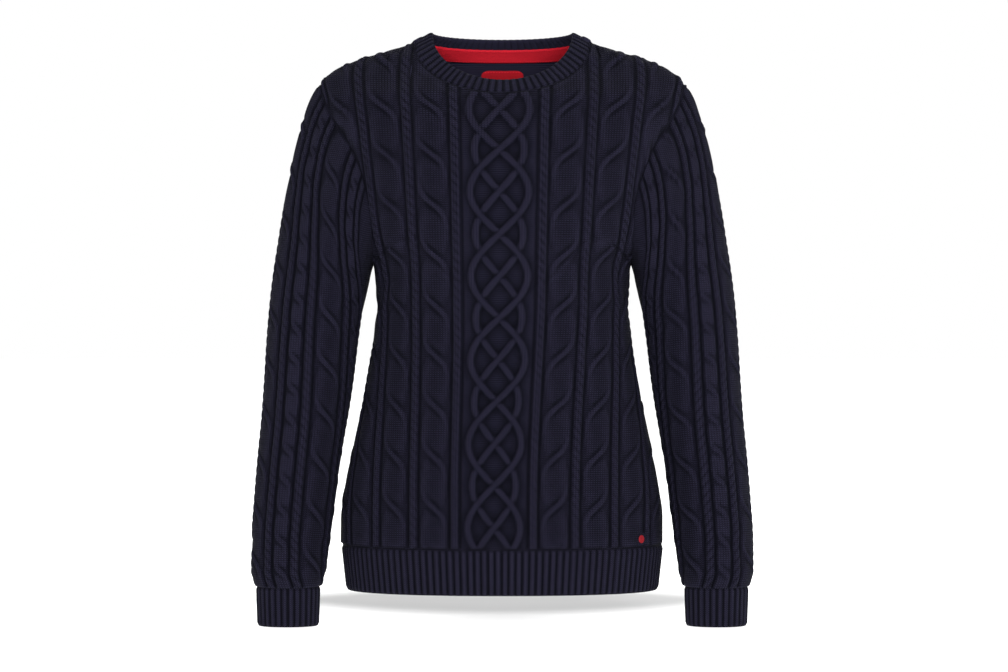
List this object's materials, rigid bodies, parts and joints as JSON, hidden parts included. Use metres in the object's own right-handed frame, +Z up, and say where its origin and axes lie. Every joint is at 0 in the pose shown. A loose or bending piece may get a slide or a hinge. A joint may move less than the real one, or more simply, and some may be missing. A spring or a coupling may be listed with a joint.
{
  "type": "cable knit sweater",
  "caption": "Long-sleeved crew-neck sweater in navy cable knit, hollow and filled out as if worn, with ribbed neckband, hem and cuffs.",
  "frame": {"origin": "on the wearer's shoulders, in the middle of the neck opening, 31 mm below the neckband's highest point", "axes": "+Z up along the wearer, +Y towards the wearer's back, +X towards the side seen on the right from the front"},
  "size_m": [0.5662, 0.2408, 0.6732],
  "materials": {
    "navy_cable_knit": "matte soft wool knit",
    "navy_rib_knit": "matte soft wool rib",
    "red_twill_tape": "matte woven twill",
    "red_woven_label": "satin woven",
    "red_embroidery": "embroidered thread"
  },
  "bodies": {
    "root": {"front_panel": "navy_cable_knit", "back_panel": "navy_cable_knit", "sleeve_right": "navy_cable_knit", "sleeve_left": "navy_cable_knit", "hem_rib": "navy_rib_knit", "neckband": "navy_rib_knit", "cuff_right": "navy_rib_knit", "cuff_left": "navy_rib_knit", "neck_tape": "red_twill_tape", "neck_label": "red_woven_label", "hem_patch": "red_embroidery"}
  },
  "joints": []
}
